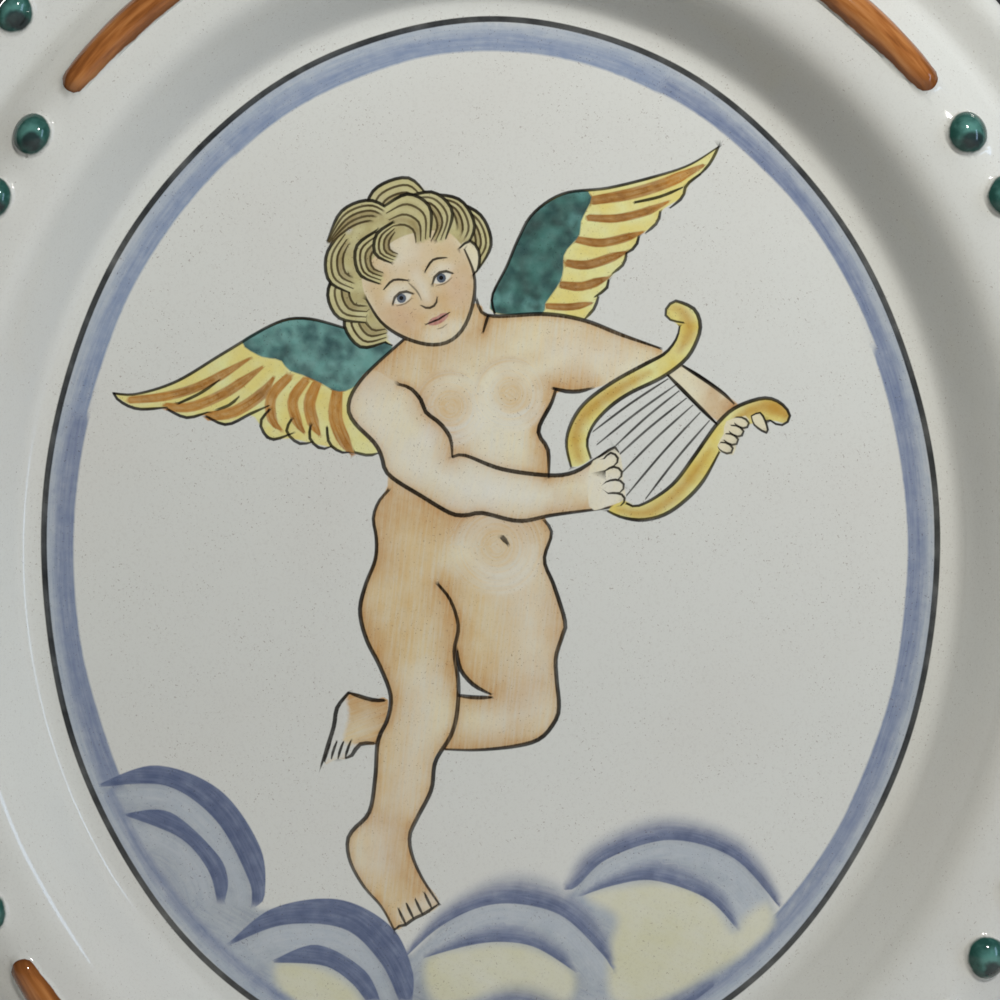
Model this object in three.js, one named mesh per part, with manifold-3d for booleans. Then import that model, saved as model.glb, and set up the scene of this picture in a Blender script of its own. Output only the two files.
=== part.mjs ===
import * as THREE from "three";
import { mergeVertices } from "three/addons/utils/BufferGeometryUtils.js";
import Module from "manifold-3d";

// Oval wall plaque of glazed earthenware, one fired body. Millimetres, +Z up.
// The wall is the plane Y = 0, the picture faces -Y, the origin is on the rear
// face of the foot ring at its top.

// The painted line round the picture is the reference oval of every ring.
const lineHalfWidth = 134;
const lineHalfHeight = 159;
const panelFront = 15;
const ringSegments = 72;

// Foot ring behind the panel, as distances inside the reference oval.
const footOuter = 8;
const footInner = 20;
const footBatter = 2;
const wall = 6.5;

// Front of the rim from the flat panel to the outer edge: cove, ring moulding,
// groove and lip. Distance outside the reference oval, height above the panel.
const frontRim = [
  [4.5, 0],
  [6.5, 1.2],
  [8.5, 4],
  [11, 8.2],
  [14, 13.3],
  [17, 18],
  [19.5, 20.6],
  [23, 22.4],
  [30, 23.7],
  [37, 23.4],
  [45, 20.8],
  [50.5, 18.2],
  [55.5, 20],
  [61.5, 22.6],
  [66.5, 21.2],
  [68, 17.2],
];
const frontSteps = 15;

// The rim was pressed a little off the middle of the panel: nothing where the cove
// starts, the whole of it from the ring moulding outwards.
const rimDriftRight = 3.2;
const rimDriftDown = 2;
const driftStart = 4.5;
const driftFull = 33;

// Back of the rim from the outer edge to the foot ring.
const backRim = [
  [66, 14.6],
  [58, 13.6],
  [50.5, 10.8],
  [43, 13.8],
  [33, 16.3],
  [26, 14.4],
  [21, 8.2],
  [16.5, 0.8],
  [11, -5],
  [0, -wall],
];
const backSteps = 9;

// Ornament on the ring moulding: pairs of beads with a spindle between pairs.
// Set by hand in the clay, so the pairs are not quite evenly spaced.
const pairAngles = [1.6, 35.3, 70.1, 109.2, 144.9, 176.5, 207.6, 245.7, 288.6, 327.8];
const beadHalfStep = 3.25;
const beadOffset = 35.5;
const beadHeight = 23;
const beadRadii = [6.4, 5.4, 5];
const spindleGap = 8.2;
const spindleRadius = 5;
const spindleTaper = 0.32;
const spindleSink = 0.4;
const lipBeadLag = 9.8;
const lipBeadOffset = 61.5;
const lipBeadHeight = 22;
const lipBeadRadii = [6, 5, 4.4];

// Two holes through the top of the foot ring for a hanging wire.
const wireHoleRadius = 3.2;
const wireHoleSpread = 24;
const wireHoleLength = 44;
const wireHoleBehind = 4.2;

const toRad = THREE.MathUtils.degToRad;
const wasm = await Module();
wasm.setup();

function solid(geometry) {
  const bare = geometry.clone();
  bare.deleteAttribute("normal");
  bare.deleteAttribute("uv");
  const welded = mergeVertices(bare, 1e-4);
  const source = welded.index.array;
  const triVerts = [];
  for (let i = 0; i < source.length; i += 3) {
    const [a, b, c] = [source[i], source[i + 1], source[i + 2]];
    if (a !== b && b !== c && c !== a) triVerts.push(a, b, c);
  }
  const mesh = new wasm.Mesh({
    numProp: 3,
    vertProperties: new Float32Array(welded.attributes.position.array),
    triVerts: new Uint32Array(triVerts),
  });
  return new wasm.Manifold(mesh);
}

function bend(geometry, place) {
  const position = geometry.attributes.position;
  const point = new THREE.Vector3();
  for (let i = 0; i < position.count; i++) {
    point.fromBufferAttribute(position, i);
    place(point);
    position.setXYZ(i, point.x, point.y, point.z);
  }
  return geometry;
}

// Points of the lathe profile along a smooth line through a few sizes.
function curve(sizes, steps) {
  const points = sizes.map(([out, up]) => new THREE.Vector2(lineHalfWidth + out, -panelFront - up));
  return new THREE.SplineCurve(points).getPoints(steps);
}

function drift(point, out) {
  const share = THREE.MathUtils.clamp((out - driftStart) / (driftFull - driftStart), 0, 1);
  point.x += share * rimDriftRight;
  point.z -= share * rimDriftDown;
}

// A turned body drawn out to an oval, every ring the same width all round.
function ovalBody() {
  const profile = [new THREE.Vector2(0, -panelFront)];
  profile.push(...curve(frontRim, frontSteps));
  profile.push(...curve(backRim, backSteps));
  profile.push(new THREE.Vector2(lineHalfWidth - footOuter + footBatter, -panelFront + wall));
  profile.push(new THREE.Vector2(lineHalfWidth - footOuter, 0));
  profile.push(new THREE.Vector2(lineHalfWidth - footInner, 0));
  profile.push(new THREE.Vector2(lineHalfWidth - footInner - footBatter, -panelFront + wall));
  profile.push(new THREE.Vector2(0, -panelFront + wall));
  const turned = new THREE.LatheGeometry(profile, ringSegments);
  return bend(turned, (p) => {
    const r = Math.hypot(p.x, p.z);
    const out = r - lineHalfWidth;
    if (out <= 0) p.z *= lineHalfHeight / lineHalfWidth;
    else p.z *= (lineHalfHeight + out) / r;
    drift(p, out);
  });
}

// Carries a small shape onto the rim: X runs clockwise along it, Y away from the
// centre, Z off the surface towards the viewer.
function onRing(geometry, angle, offset, height) {
  const t = toRad(angle);
  const a = lineHalfWidth + offset;
  const b = lineHalfHeight + offset;
  const pace = Math.hypot(a * Math.sin(t), b * Math.cos(t));
  return bend(geometry, (p) => {
    const s = t - p.x / pace;
    const out = offset + p.y;
    p.set((a + p.y) * Math.cos(s), -panelFront - height - p.z, (b + p.y) * Math.sin(s));
    drift(p, out);
  });
}

function bead(angle, offset, height, radii) {
  const dome = new THREE.SphereGeometry(1, 10, 6);
  dome.rotateX(Math.PI / 2);
  dome.scale(...radii);
  return solid(onRing(dome, angle, offset, height));
}

function spindle(from, to) {
  const a = lineHalfWidth + beadOffset;
  const b = lineHalfHeight + beadOffset;
  const t = toRad((from + to) / 2);
  const length = toRad(to - from) * Math.hypot(a * Math.sin(t), b * Math.cos(t));
  const straight = length / 2 - spindleRadius;
  const rod = new THREE.CapsuleGeometry(1, 2 * straight, 3, 8, 6);
  rod.rotateZ(Math.PI / 2);
  bend(rod, (p) => {
    const along = Math.abs(p.x);
    const taper = 1 - spindleTaper * Math.pow(along / (length / 2), 2);
    const over = Math.max(0, along - straight);
    p.x = Math.sign(p.x) * (along - over + over * spindleRadius);
    p.y *= spindleRadius * taper;
    p.z *= spindleRadius * taper;
  });
  return solid(onRing(rod, (from + to) / 2, beadOffset, beadHeight - spindleSink));
}

let body = solid(ovalBody());
pairAngles.forEach((angle, i) => {
  const next = pairAngles[(i + 1) % pairAngles.length] + (i + 1 === pairAngles.length ? 360 : 0);
  for (const side of [-beadHalfStep, beadHalfStep]) {
    body = body.add(bead(angle + side, beadOffset, beadHeight, beadRadii));
  }
  body = body.add(spindle(angle + spindleGap, next - spindleGap));
  body = body.add(bead(angle - lipBeadLag, lipBeadOffset, lipBeadHeight, lipBeadRadii));
});

const footMiddle = lineHalfWidth - (footOuter + footInner) / 2;
const footTop = (footMiddle * lineHalfHeight) / lineHalfWidth;
for (const x of [-wireHoleSpread, wireHoleSpread]) {
  const hole = new THREE.CylinderGeometry(wireHoleRadius, wireHoleRadius, wireHoleLength, 12);
  hole.rotateX(Math.PI / 2);
  hole.translate(x, -wireHoleBehind, footTop);
  body = body.subtract(solid(hole));
}

const cut = body.getMesh();
const geometry = new THREE.BufferGeometry();
geometry.setAttribute("position", new THREE.BufferAttribute(new Float32Array(cut.vertProperties), 3));
geometry.setIndex(new THREE.BufferAttribute(new Uint32Array(cut.triVerts), 1));
geometry.translate(0, 0, -footTop);
geometry.computeVertexNormals();

const glaze = new THREE.MeshStandardMaterial({ color: 0xd9d6cc, roughness: 0.25, metalness: 0 });
const plaque = new THREE.Mesh(geometry, glaze);
plaque.name = "plaque";

const part = new THREE.Group();
part.name = "wall_plaque";
part.add(plaque);
export default part;
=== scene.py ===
import math
import random

import bpy
import numpy as np
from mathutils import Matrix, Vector
from mathutils.geometry import delaunay_2d_cdt
from mathutils.kdtree import KDTree


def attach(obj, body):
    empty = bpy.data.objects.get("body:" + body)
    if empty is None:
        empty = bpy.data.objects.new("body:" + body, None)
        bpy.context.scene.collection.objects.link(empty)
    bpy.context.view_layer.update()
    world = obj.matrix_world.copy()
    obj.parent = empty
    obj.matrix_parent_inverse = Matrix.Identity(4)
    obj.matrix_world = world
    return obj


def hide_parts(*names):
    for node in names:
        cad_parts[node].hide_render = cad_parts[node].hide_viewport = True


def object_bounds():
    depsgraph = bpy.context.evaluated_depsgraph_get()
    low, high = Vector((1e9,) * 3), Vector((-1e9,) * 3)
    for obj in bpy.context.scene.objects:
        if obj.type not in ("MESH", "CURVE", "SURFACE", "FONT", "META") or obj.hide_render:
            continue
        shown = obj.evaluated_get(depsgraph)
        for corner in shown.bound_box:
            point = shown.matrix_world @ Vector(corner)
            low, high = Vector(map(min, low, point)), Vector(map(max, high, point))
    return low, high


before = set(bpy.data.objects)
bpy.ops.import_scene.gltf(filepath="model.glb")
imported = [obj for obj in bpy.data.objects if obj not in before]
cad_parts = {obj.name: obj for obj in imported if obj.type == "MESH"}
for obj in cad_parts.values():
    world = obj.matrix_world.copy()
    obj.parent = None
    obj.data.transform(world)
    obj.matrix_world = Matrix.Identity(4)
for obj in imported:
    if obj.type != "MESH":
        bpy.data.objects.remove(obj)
cadLow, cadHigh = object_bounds()

# Sizes are in millimetres here. The picture's own plane has u to the right and v up,
# from the middle of the panel.
mm = 0.001
rimWidth = 68                                     # painted line to outer edge
rimDrift = (3.2, -2)                              # the rim sits a little right of the picture and low
driftZone = (4.5, 33)                             # from no drift to all of it, outside the painted line
lineHalfWidth = (cadHigh.x - cadLow.x) / mm / 2 - rimWidth
lineHalfHeight = (cadHigh.z - cadLow.z) / mm / 2 - rimWidth
centreZ = (cadHigh.z + cadLow.z) / 2 - rimDrift[1] * mm
ovalRatio = lineHalfHeight / lineHalfWidth
farOff = 9.0                                      # stands for not on any bead or spindle


def runAlong(line):
    # length of a line up to each of its points
    return np.r_[0, np.cumsum(np.hypot(*np.diff(line, axis=0).T))]


def smoothLine(points, step=None, closed=False):
    # a smooth line through given points, evened out to one step
    p = np.array(points, float)
    if closed:
        ext = np.vstack([p[-1:], p, p[:2]])
    else:
        ext = np.vstack([p[:1], p, p[-1:]])
    t = (np.arange(10) / 10)[:, None]
    rows = []
    for i in range(len(ext) - 3):
        a, b, c, d = ext[i:i + 4]
        rows.append(0.5 * (2 * b + (c - a) * t + (2 * a - 5 * b + 4 * c - d) * t ** 2
                           + (3 * b - 3 * c + d - a) * t ** 3))
    line = np.vstack(rows + [p[:1] if closed else p[-1:]])
    if not step:
        return line
    run = runAlong(line)
    stops = np.linspace(0, run[-1], max(3, round(run[-1] / step) + 1))
    return np.c_[np.interp(stops, run, line[:, 0]), np.interp(stops, run, line[:, 1])]


def mottle(x, y, cell, seed):
    # smooth random patches from -1 to 1, each about one cell wide
    gx, gy = x / cell, y / cell
    ix, iy = np.floor(gx), np.floor(gy)
    fx, fy = gx - ix, gy - iy
    fx, fy = fx * fx * (3 - 2 * fx), fy * fy * (3 - 2 * fy)

    def corner(a, b):
        h = np.sin((ix + a) * 127.1 + (iy + b) * 311.7 + seed * 74.7) * 43758.5453
        return (h - np.floor(h)) * 2 - 1

    low = corner(0, 0) * (1 - fx) + corner(1, 0) * fx
    high = corner(0, 1) * (1 - fx) + corner(1, 1) * fx
    return low * (1 - fy) + high * fy


def smoothStep(low, high, x):
    t = np.clip((x - low) / (high - low), 0, 1)
    return t * t * (3 - 2 * t)


def selectFaces(obj, choose):
    # picks faces by their middles, in millimetres about the panel
    bpy.ops.object.mode_set(mode="EDIT")
    bpy.ops.mesh.select_mode(type="FACE")
    bpy.ops.mesh.select_all(action="DESELECT")
    bpy.ops.object.mode_set(mode="OBJECT")
    faces = obj.data.polygons
    middle = np.empty(len(faces) * 3)
    faces.foreach_get("center", middle)
    middle = (middle.reshape(-1, 3) - (0, 0, centreZ)) / mm
    faces.foreach_set("select", choose(middle))
    bpy.ops.object.mode_set(mode="EDIT")


# The fired body: a coved rim with a ring moulding and a lip, and a foot ring behind.
bodyShape = {
    "ringVerts": 240,
    "panelFront": 15,
    "frontRim": [(4.5, 0), (6.5, 1.2), (8.5, 4), (11, 8.2), (14, 13.3), (17, 18), (19.5, 20.6), (23, 22.4),
                 (30, 23.7), (37, 23.4), (45, 20.8), (50.5, 18.2), (55.5, 20), (61.5, 22.6), (66.5, 21.2),
                 (68, 17.2)],
    "frontStep": 2.0,
    "backRim": [(66, 14.6), (58, 13.6), (50.5, 10.8), (43, 13.8), (33, 16.3), (26, 14.4), (21, 8.2),
                (16.5, 0.8), (11, -5), (0, -6.5)],
    "backStep": 5,
    "foot": [(-4.6, -6.6), (-5.9, -7.4), (-7.5, -13.4), (-7.9, -14.6), (-8.9, -15), (-19.1, -15),
             (-20.1, -14.6), (-20.5, -13.4), (-22.1, -7.4), (-23.4, -6.6), (-26, -6.5), (-60, -6.4)],
    "wireHole": {"radius": 3.2, "spread": 24, "length": 44, "behind": 4.2},
    "handWobble": 0.16,                           # the mould was pressed by hand
    "trimZone": (5, 67),                          # where the front of the rim can be raised
}

# Beads in pairs on the moulding, a spindle between pairs, one bead on the lip before each pair.
trimShape = {
    "pairAngles": [1.6, 35.3, 70.1, 109.2, 144.9, 176.5, 207.6, 245.7, 288.6, 327.8],
    "beadHalfStep": 3.25,
    "beadOffset": 35.5,
    "beadRadii": (6.2, 6.0),
    "beadRise": 4.4,
    "beadDome": {"round": 0.86, "power": 0.62, "skirt": 0.16, "reach": 1.3},
    "spindleGap": 8.2,
    "spindleHalfWidth": 5,
    "spindleTaper": 0.26,
    "spindleRise": 3.9,
    "spindleDome": {"round": 0.88, "power": 0.6, "skirt": 0.14, "reach": 1.25},
    "lipLag": 9.8,
    "lipOffset": 61.5,
    "lipRadii": (6, 5),
    "lipRise": 3.7,
}


def ringAxes(out):
    if out > 0:
        return lineHalfWidth + out, lineHalfHeight + out
    return lineHalfWidth + out, (lineHalfWidth + out) * ovalRatio


def ringPlace(u, v):
    # which ring a point is on, and its angle along it
    out = np.hypot(u, v / ovalRatio) - lineHalfWidth
    for _ in range(12):
        a, b = lineHalfWidth + out, lineHalfHeight + out
        miss = (u / a) ** 2 + (v / b) ** 2 - 1
        out = np.maximum(out + miss / (2 * (u * u / a ** 3 + v * v / b ** 3)), -60)
    return out, np.arctan2(v / (lineHalfHeight + out), u / (lineHalfWidth + out))


def pace(angle, offset):
    return np.hypot((lineHalfWidth + offset) * np.sin(angle), (lineHalfHeight + offset) * np.cos(angle))


def nearAngle(angle, middle):
    return (angle - middle + math.pi) % (2 * math.pi) - math.pi


def beadPlaces():
    # angle, offset, radii and rise of every bead
    t = trimShape
    for angle in t["pairAngles"]:
        for side in (-1, 1):
            turn = math.radians(angle + side * t["beadHalfStep"])
            yield turn, t["beadOffset"], t["beadRadii"], t["beadRise"]
        yield math.radians(angle - t["lipLag"]), t["lipOffset"], t["lipRadii"], t["lipRise"]


def spindlePlaces():
    # middle angle and half length along the ring of every spindle
    t = trimShape
    ends = t["pairAngles"][1:] + [t["pairAngles"][0] + 360]
    for start, end in zip(t["pairAngles"], ends):
        middle = math.radians((start + end) / 2)
        half = math.radians(end - start - 2 * t["spindleGap"]) / 2 * pace(middle, t["beadOffset"])
        yield middle, half


def domeHeight(far, dome):
    # a rounded top with a soft skirt of glaze round its foot
    top = dome["round"] * np.clip(1.02 - far ** 2, 0, 1) ** dome["power"]
    return top + dome["skirt"] * np.exp(-(far / dome["reach"]) ** 4)


def beadField(out, angle):
    # place on the nearest bead: sideways and upwards in bead widths, and distance from its middle
    best = np.full((len(out), 3), farOff)
    rise = np.zeros(len(out))
    for middle, offset, radii, high in beadPlaces():
        along = -nearAngle(angle, middle) * pace(middle, offset)
        across = out - offset
        far = np.hypot(along / radii[0], across / radii[1])
        near = far < best[:, 2]
        side = along * math.sin(middle) + across * math.cos(middle)
        upward = across * math.sin(middle) - along * math.cos(middle)
        best[near] = np.c_[side / radii[0], upward / radii[0], far][near]
        rise += high * domeHeight(far, trimShape["beadDome"])
    return best, rise


def spindleField(out, angle):
    # place on the nearest spindle: along it, across it, and distance from its middle line
    t = trimShape
    best = np.full((len(out), 3), farOff)
    rise = np.zeros(len(out))
    for middle, half in spindlePlaces():
        along = -nearAngle(angle, middle) * pace(middle, t["beadOffset"])
        across = out - t["beadOffset"]
        width = t["spindleHalfWidth"] * (1 - t["spindleTaper"] * np.clip(along / half, -1, 1) ** 2)
        end = np.clip(np.abs(along) - (half - (1 - t["spindleTaper"]) * t["spindleHalfWidth"]), 0, None)
        far = np.hypot(across, end) / width
        near = far < best[:, 2]
        best[near] = np.c_[along / half, across / t["spindleHalfWidth"], far][near]
        high = t["spindleRise"] * width / t["spindleHalfWidth"]
        rise += high * domeHeight(far, t["spindleDome"])
    return best, rise


def makeBody():
    shape = bodyShape
    profile = [tuple(p) for p in smoothLine(shape["frontRim"], shape["frontStep"])]
    profile += [tuple(p) for p in smoothLine(shape["backRim"], shape["backStep"])] + shape["foot"]
    bpy.ops.object.select_all(action="DESELECT")
    bpy.ops.mesh.primitive_circle_add(vertices=shape["ringVerts"], radius=1, fill_type="NOTHING",
                                      rotation=(math.pi / 2, 0, 0))
    body = bpy.context.object
    body.name = body.data.name = "paintedPlaque"
    bpy.ops.object.transform_apply(location=False, rotation=True, scale=False)
    bpy.ops.object.mode_set(mode="EDIT")
    bpy.ops.mesh.select_all(action="SELECT")
    lastWide, lastHigh, lastY = 1, 1, 0
    for i, (out, up) in enumerate(profile):
        wide, high = (size * mm for size in ringAxes(out))
        y = -(shape["panelFront"] + up) * mm
        if i:
            bpy.ops.mesh.extrude_region_move(TRANSFORM_OT_translate={"value": (0, y - lastY, 0)})
            middle = (0, 0, centreZ)
        else:
            bpy.ops.transform.translate(value=(0, y, 0))
            middle = (0, 0, 0)
        bpy.ops.transform.resize(value=(wide / lastWide, 1, high / lastHigh), center_override=middle)
        if not i:
            bpy.ops.transform.translate(value=(0, 0, centreZ))
        lastWide, lastHigh, lastY = wide, high, y
    bpy.ops.mesh.edge_face_add()                   # floor of the recess behind
    bpy.ops.mesh.select_all(action="DESELECT")
    bpy.ops.mesh.select_mode(type="EDGE")
    bpy.ops.mesh.select_non_manifold()
    bpy.ops.mesh.edge_face_add()                   # stands for the panel while the holes are cut
    bpy.ops.mesh.select_all(action="SELECT")
    bpy.ops.mesh.normals_make_consistent(inside=False)
    bpy.ops.object.mode_set(mode="OBJECT")
    return body


def cutWireHoles(body):
    hole = bodyShape["wireHole"]
    for side in (-1, 1):
        bpy.ops.object.select_all(action="DESELECT")
        bpy.ops.mesh.primitive_cylinder_add(vertices=32, radius=hole["radius"] * mm,
                                            depth=hole["length"] * mm,
                                            location=(side * hole["spread"] * mm, -hole["behind"] * mm, 0))
        drill = bpy.context.object
        bpy.context.view_layer.objects.active = body
        cut = body.modifiers.new("wireHole", "BOOLEAN")
        cut.object = drill
        cut.operation = "DIFFERENCE"
        cut.solver = "EXACT"
        bpy.ops.object.modifier_apply(modifier=cut.name)
        bpy.data.objects.remove(drill)
    body.select_set(True)
    front = -bodyShape["panelFront"]
    selectFaces(body, lambda m: (np.hypot(m[:, 0], m[:, 2]) < 20) & (np.abs(m[:, 1] - front) < 0.5))
    bpy.ops.mesh.delete(type="ONLY_FACE")
    bpy.ops.object.mode_set(mode="OBJECT")


def frontSide(middle):
    out, angle = ringPlace(middle[:, 0], middle[:, 2])
    low, high = bodyShape["trimZone"]
    rim = smoothLine(bodyShape["frontRim"])
    top = -bodyShape["panelFront"] - np.interp(out, rim[:, 0], rim[:, 1])
    return out, angle, (out > low) & (out < high) & (middle[:, 1] < top + 2.5)


def refineTrim(body):
    def onTrim(middle):
        out, angle, front = frontSide(middle)
        nearBead = beadField(out, angle)[0][:, 2] < 1.9
        return front & (nearBead | (spindleField(out, angle)[0][:, 2] < 1.7))

    def onBead(middle):
        out, angle, front = frontSide(middle)
        return front & (beadField(out, angle)[0][:, 2] < 1.4)

    for choose, cuts in ((onTrim, 2), (onBead, 1)):
        selectFaces(body, choose)
        bpy.ops.mesh.subdivide(number_cuts=cuts, ngon=True)
        bpy.ops.object.mode_set(mode="OBJECT")


def readPoints(body):
    # every point in metres, and in millimetres about the panel
    co = np.empty(len(body.data.vertices) * 3)
    body.data.vertices.foreach_get("co", co)
    co = co.reshape(-1, 3)
    return co, (co - (0, 0, centreZ)) / mm


def addFields(mesh, colours, brush, beads, rods):
    # what the glaze looks up at each point
    for name, values in (("brush", brush), ("beadField", beads), ("rodField", rods)):
        field = mesh.attributes.new(name, "FLOAT_VECTOR", "POINT")
        field.data.foreach_set("vector", values.astype(np.float32).ravel())
    paint = mesh.attributes.new("paint", "FLOAT_COLOR", "POINT")
    paint.data.foreach_set("color", colours.astype(np.float32).ravel())


def raiseTrim(body):
    # lifts beads and spindles out of the rim and notes each point's place on them
    co, flat = readPoints(body)
    out, angle, front = frontSide(flat)
    beads, beadRise = beadField(out, angle)
    rods, rodRise = spindleField(out, angle)
    rim = smoothLine(bodyShape["frontRim"])
    up = np.interp(out, rim[:, 0], rim[:, 1])
    wave = mottle(flat[:, 0], flat[:, 2], 38, 3) + 0.5 * mottle(flat[:, 0], flat[:, 2], 17, 4)
    wave = wave * bodyShape["handWobble"] * smoothStep(6, 20, out) * smoothStep(67.5, 62, out)
    height = bodyShape["panelFront"] + up + beadRise + rodRise + wave
    co[front, 1] = -height[front] * mm
    body.data.vertices.foreach_set("co", co.ravel())
    beads[~front] = farOff
    rods[~front] = farOff
    addFields(body.data, np.tile((1, 1, 1, 0), len(co)), beads * 0, beads, rods)


def driftRim(body):
    # shifts the rim off the picture's middle, more and more from the panel's edge to the moulding
    co, flat = readPoints(body)
    out, _ = ringPlace(flat[:, 0], flat[:, 2])
    share = np.clip((out - driftZone[0]) / (driftZone[1] - driftZone[0]), 0, 1)
    co[:, 0] += share * rimDrift[0] * mm
    co[:, 2] += share * rimDrift[1] * mm
    body.data.vertices.foreach_set("co", co.ravel())


# The picture is laid on in layers, as washes, brush strokes and ink lines.
# Each colour is what the eye sees on white glaze, 0 to 255.
paints = {
    "ink": (22, 19, 16), "hairInk": (66, 55, 36), "line": (38, 40, 42),
    "band": (118, 128, 151), "bandDeep": (110, 121, 147), "bandTop": (130, 142, 164),
    "bandPale": (158, 166, 176),
    "cloud": (92, 103, 131), "cloudDeep": (78, 89, 118), "cloudSoft": (112, 121, 147),
    "cloudWash": (138, 145, 153),
    "cloudPale": (170, 176, 182), "cloudYellow": (198, 195, 166), "cloudCream": (203, 201, 182),
    "teal": (104, 149, 144), "tealDeep": (54, 80, 82), "tealLight": (106, 150, 143),
    "tealDark": (68, 112, 107), "tealNight": (46, 68, 69),
    "yellow": (212, 198, 122), "yellowPale": (220, 211, 154), "stripe": (176, 126, 66),
    "stripeDeep": (134, 88, 46),
    "flesh": (215, 203, 175), "fleshWarm": (198, 172, 129), "fleshDeep": (178, 135, 86),
    "light": (211, 207, 194), "lyre": (206, 188, 106), "lyreDeep": (178, 138, 66),
    "hair": (168, 157, 114), "hairLight": (194, 188, 142), "hairDeep": (132, 114, 76),
    "bare": (201, 201, 195), "eye": (84, 92, 104), "lips": (176, 128, 118), "blush": (190, 148, 118),
}
layers = []


def linear(colour):
    c = np.array(colour) / 255
    return np.where(c < 0.04045, c / 12.92, ((c + 0.055) / 1.055) ** 2.4)


def pigment(name):
    return np.minimum(linear(paints[name]) / linear(paints["bare"]), 1.12)


def wash(outline, colour, alpha=1.0, soft=0.5, **how):
    # a closed patch; second, patch and seed mottle it with another colour
    step = how.pop("step", 2.0)
    line = smoothLine(outline, step, closed=True) if how.pop("curved", True) else np.array(outline)
    layers.append({"kind": "wash", "line": line, "colour": colour, "alpha": alpha, "soft": soft, **how})


def stroke(points, width, colour, alpha=1.0, soft=None, taper=(1, 1), **how):
    line = smoothLine(points, how.pop("step", 2.0)) if len(points) > 2 else np.array(points, float)
    layers.append({"kind": "stroke", "line": line, "colour": colour, "alpha": alpha, "half": width / 2,
                   "soft": width if soft is None else soft, "taper": taper, **how})


def ink(points, width=1.2, taper=(0.6, 0.5), colour="ink", alpha=0.97):
    stroke(points, width, colour, alpha, soft=0.3, taper=taper, rails=True, loaded=True,
           step=1.4 if width < 0.8 else 2.0)


def crescent(upper, lower, fade):
    # a brush swept round: sharp on its lower edge, and fading out beyond its upper one
    top = smoothLine(upper, 2.0)
    swell = np.sin(np.linspace(0, math.pi, len(top))) ** 0.7
    layers.append({"kind": "crescent", "line": offsetLine(top, fade * swell, False),
                   "lower": smoothLine(lower, 2.0), "colour": "cloudSoft" if fade else "cloud",
                   "second": "cloudDeep", "alpha": 0.97,
                   "ramp": 0.8 if fade else 0.001, "brushed": 0.3})


def arc(middle, radius, start, end, count=7):
    angles = np.radians(np.linspace(start, end, count))
    return [(middle[0] + radius * math.cos(a), middle[1] + radius * math.sin(a)) for a in angles]


# Blue border inside the dark line: overlapping strokes of a wide brush, start and end angle,
# inner edge and tone.
borderBrush = {
    "lineWidth": 1.8,
    "bareOuter": 3.6,                             # pale strip between the line and the deeper brush mark
    "strokes": [(-64, 24, 8.6, "band"), (14, 74, 7.6, "bandDeep"), (66, 128, 8.2, "bandTop"),
                (120, 172, 8.4, "bandTop"), (164, 244, 9.4, "band"), (236, 300, 8.4, "band")],
}


def ovalLine(inside, start, end, step=3.0):
    angles = np.radians(np.linspace(start, end, max(4, int(abs(end - start) * 2.6 / step))))
    wide = lineHalfWidth - inside
    return np.c_[wide * np.cos(angles), wide * ovalRatio * np.sin(angles)]


def drawBorder():
    for start, end, inner, tone in borderBrush["strokes"]:
        for part, colour, alpha in ((0, "bandPale", 0.9), (borderBrush["bareOuter"], tone, 0.85)):
            layers.append({"kind": "band", "line": ovalLine(inner / 2, start, end), "inner": inner,
                           "outer": part, "colour": colour, "alpha": alpha, "brushed": 0.35, "rails": True})
    around = ovalLine(0, 0, 360)
    angles = np.radians(np.linspace(0, 360, len(around)))
    wander = 1 + 0.0016 * np.sin(angles * 5 + 1) + 0.0011 * np.sin(angles * 13)
    layers.append({"kind": "stroke", "line": around * wander[:, None], "colour": "line", "alpha": 0.98,
                   "half": borderBrush["lineWidth"] / 2, "soft": 0.35, "taper": (1, 1), "rails": True,
                   "loaded": True})


def bandEdge(layer, along):
    return layer["inner"] + 0.45 * mottle(along, along * 0, 24, 5)


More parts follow.
